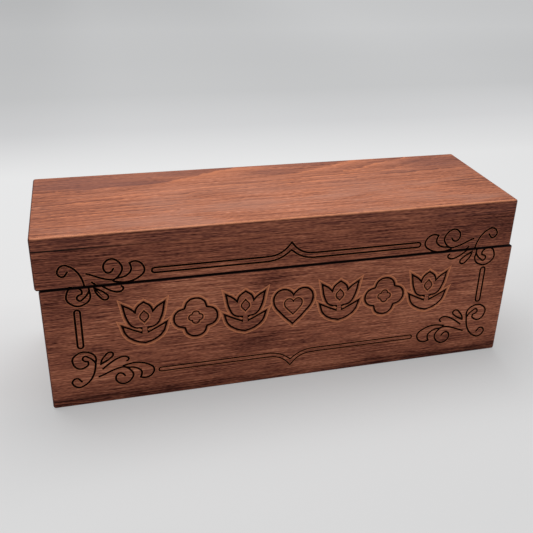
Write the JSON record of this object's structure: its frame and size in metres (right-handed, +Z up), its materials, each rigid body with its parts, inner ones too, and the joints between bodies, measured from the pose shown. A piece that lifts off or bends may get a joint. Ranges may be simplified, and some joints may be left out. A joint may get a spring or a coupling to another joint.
{
  "type": "recipe card box",
  "caption": "Long wooden box for recipe cards with a hinged lid, rabbeted corners, a card divider and brass butt hinges at the back.",
  "frame": {"origin": "middle of the base's underside", "axes": "+X to the right along the box, +Y to the back where the hinges are, +Z up"},
  "size_m": [0.3453, 0.1116, 0.1308],
  "materials": {
    "stained_softwood": "red-brown stain on planed softwood, grain along each board, worn lighter on the edges",
    "hinge_brass": "rolled sheet brass, lightly tarnished",
    "pin_brass": "drawn brass wire, peened at the ends",
    "screw_brass": "turned brass wood screws with slotted flat heads"
  },
  "bodies": {
    "base": {"base_front_board": "stained_softwood", "base_back_board": "stained_softwood", "base_left_end": "stained_softwood", "base_right_end": "stained_softwood", "base_bottom_board": "stained_softwood", "card_divider": "stained_softwood", "left_hinge_base_leaf": "hinge_brass", "left_hinge_base_screws": "screw_brass", "left_hinge_pin": "pin_brass", "right_hinge_base_leaf": "hinge_brass", "right_hinge_base_screws": "screw_brass", "right_hinge_pin": "pin_brass"},
    "lid": {"lid_top_board": "stained_softwood", "lid_front_board": "stained_softwood", "lid_back_board": "stained_softwood", "lid_left_end": "stained_softwood", "lid_right_end": "stained_softwood", "left_hinge_lid_leaf": "hinge_brass", "left_hinge_lid_screws": "screw_brass", "right_hinge_lid_leaf": "hinge_brass", "right_hinge_lid_screws": "screw_brass"}
  },
  "joints": [
    {"name": "lid_hinge", "type": "hinge", "parent": "base", "child": "lid", "pos_m": [0, 0.05595, 0.0938], "axis": [-1, 0, 0], "range_deg": [0, 180]}
  ]
}
